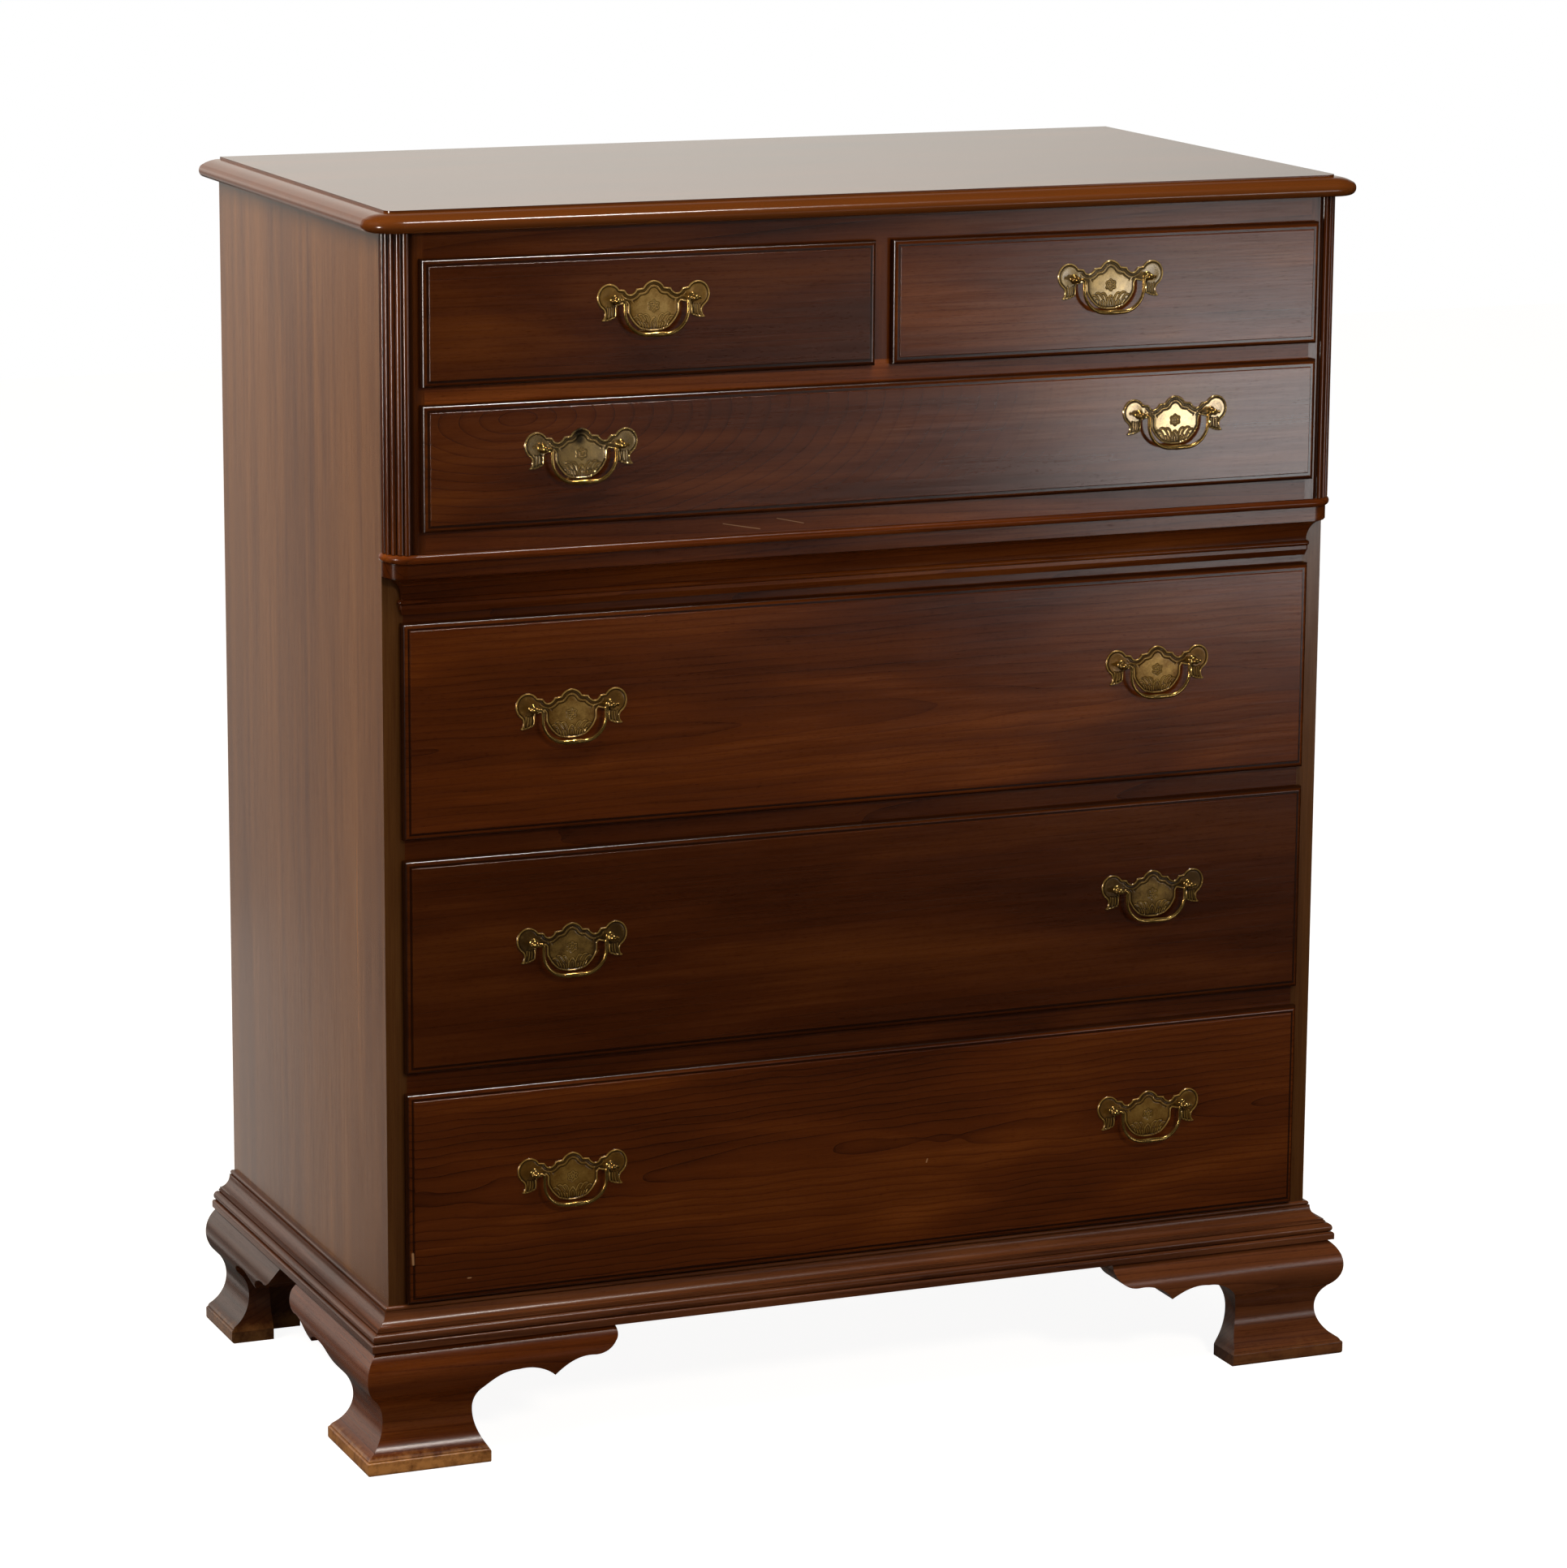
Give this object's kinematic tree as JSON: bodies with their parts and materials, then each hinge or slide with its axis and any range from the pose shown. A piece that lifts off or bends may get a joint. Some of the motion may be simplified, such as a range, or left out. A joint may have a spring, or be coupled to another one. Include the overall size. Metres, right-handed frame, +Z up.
{
  "type": "tall chest of drawers on ogee bracket feet",
  "caption": "Tall two-section chest of lipped drawers in dark lacquered wood, with reeded quarter columns, waist moulding, ogee bracket feet and batwing bail pulls",
  "frame": {"origin": "on the floor, under the middle of the chest's bounding box", "axes": "+Z up, the longest extent; +X to the right seen from the front; +Y to the back, the shortest extent"},
  "size_m": [1.0296, 0.5447, 1.185],
  "materials": {
    "case_wood": "semi-gloss dark red-brown lacquer over cherry",
    "secondary_wood": "plain unfinished secondary wood",
    "brass": "aged antique brass, brighter on the rims"
  },
  "bodies": {
    "case": {"top_board": "case_wood", "side_panel_left": "case_wood", "side_panel_right": "case_wood", "back_panel": "secondary_wood", "reeded_post_left": "case_wood", "reeded_post_right": "case_wood", "top_rail": "case_wood", "drawer_divider": "case_wood", "small_drawer_rail": "case_wood", "second_drawer_rail": "case_wood", "waist_nosing": "case_wood", "waist_moulding": "case_wood", "waist_rail": "case_wood", "lower_rails": "case_wood", "base_moulding": "case_wood", "foot_front_left": "case_wood", "foot_front_right": "case_wood", "foot_rear_left": "case_wood", "foot_rear_right": "case_wood", "web_frames": "secondary_wood"},
    "drawer_top_left": {"top_left_front": "case_wood", "top_left_box": "secondary_wood", "top_left_floor": "secondary_wood", "top_left_plates": "brass", "top_left_posts": "brass"},
    "pull_top_left_bail": {"top_left_bail": "brass"},
    "drawer_top_right": {"top_right_front": "case_wood", "top_right_box": "secondary_wood", "top_right_floor": "secondary_wood", "top_right_plates": "brass", "top_right_posts": "brass"},
    "pull_top_right_bail": {"top_right_bail": "brass"},
    "drawer_second": {"second_front": "case_wood", "second_box": "secondary_wood", "second_floor": "secondary_wood", "second_plates": "brass", "second_posts": "brass"},
    "pull_second_bail_left": {"second_bail_left": "brass"},
    "pull_second_bail_right": {"second_bail_right": "brass"},
    "drawer_third": {"third_front": "case_wood", "third_box": "secondary_wood", "third_floor": "secondary_wood", "third_plates": "brass", "third_posts": "brass"},
    "pull_third_bail_left": {"third_bail_left": "brass"},
    "pull_third_bail_right": {"third_bail_right": "brass"},
    "drawer_fourth": {"fourth_front": "case_wood", "fourth_box": "secondary_wood", "fourth_floor": "secondary_wood", "fourth_plates": "brass", "fourth_posts": "brass"},
    "pull_fourth_bail_left": {"fourth_bail_left": "brass"},
    "pull_fourth_bail_right": {"fourth_bail_right": "brass"},
    "drawer_bottom": {"bottom_front": "case_wood", "bottom_box": "secondary_wood", "bottom_floor": "secondary_wood", "bottom_plates": "brass", "bottom_posts": "brass"},
    "pull_bottom_bail_left": {"bottom_bail_left": "brass"},
    "pull_bottom_bail_right": {"bottom_bail_right": "brass"}
  },
  "joints": [
    {"name": "top_left_slide", "type": "slide", "parent": "case", "child": "drawer_top_left", "axis": [0, -1, 0], "range_m": [0, 0.36]},
    {"name": "top_left_bail_hinge", "type": "hinge", "parent": "drawer_top_left", "child": "pull_top_left_bail", "pos_m": [-0.2313, -0.26915, 1.0984], "axis": [-1, 0, 0], "range_deg": [-9, 189]},
    {"name": "top_right_slide", "type": "slide", "parent": "case", "child": "drawer_top_right", "axis": [0, -1, 0], "range_m": [0, 0.36]},
    {"name": "top_right_bail_hinge", "type": "hinge", "parent": "drawer_top_right", "child": "pull_top_right_bail", "pos_m": [0.2313, -0.26915, 1.0984], "axis": [-1, 0, 0], "range_deg": [-9, 189]},
    {"name": "second_slide", "type": "slide", "parent": "case", "child": "drawer_second", "axis": [0, -1, 0], "range_m": [0, 0.36]},
    {"name": "second_bail_left_hinge", "type": "hinge", "parent": "drawer_second", "child": "pull_second_bail_left", "pos_m": [-0.302, -0.26915, 0.966], "axis": [-1, 0, 0], "range_deg": [-9, 189]},
    {"name": "second_bail_right_hinge", "type": "hinge", "parent": "drawer_second", "child": "pull_second_bail_right", "pos_m": [0.302, -0.26915, 0.966], "axis": [-1, 0, 0], "range_deg": [-9, 189]},
    {"name": "third_slide", "type": "slide", "parent": "case", "child": "drawer_third", "axis": [0, -1, 0], "range_m": [0, 0.36]},
    {"name": "third_bail_left_hinge", "type": "hinge", "parent": "drawer_third", "child": "pull_third_bail_left", "pos_m": [-0.302, -0.24195, 0.71855], "axis": [-1, 0, 0], "range_deg": [-9, 189]},
    {"name": "third_bail_right_hinge", "type": "hinge", "parent": "drawer_third", "child": "pull_third_bail_right", "pos_m": [0.302, -0.24195, 0.71855], "axis": [-1, 0, 0], "range_deg": [-9, 189]},
    {"name": "fourth_slide", "type": "slide", "parent": "case", "child": "drawer_fourth", "axis": [0, -1, 0], "range_m": [0, 0.36]},
    {"name": "fourth_bail_left_hinge", "type": "hinge", "parent": "drawer_fourth", "child": "pull_fourth_bail_left", "pos_m": [-0.302, -0.24195, 0.49565], "axis": [-1, 0, 0], "range_deg": [-9, 189]},
    {"name": "fourth_bail_right_hinge", "type": "hinge", "parent": "drawer_fourth", "child": "pull_fourth_bail_right", "pos_m": [0.302, -0.24195, 0.49565], "axis": [-1, 0, 0], "range_deg": [-9, 189]},
    {"name": "bottom_slide", "type": "slide", "parent": "case", "child": "drawer_bottom", "axis": [0, -1, 0], "range_m": [0, 0.36]},
    {"name": "bottom_bail_left_hinge", "type": "hinge", "parent": "drawer_bottom", "child": "pull_bottom_bail_left", "pos_m": [-0.302, -0.24195, 0.27275], "axis": [-1, 0, 0], "range_deg": [-9, 189]},
    {"name": "bottom_bail_right_hinge", "type": "hinge", "parent": "drawer_bottom", "child": "pull_bottom_bail_right", "pos_m": [0.302, -0.24195, 0.27275], "axis": [-1, 0, 0], "range_deg": [-9, 189]}
  ]
}
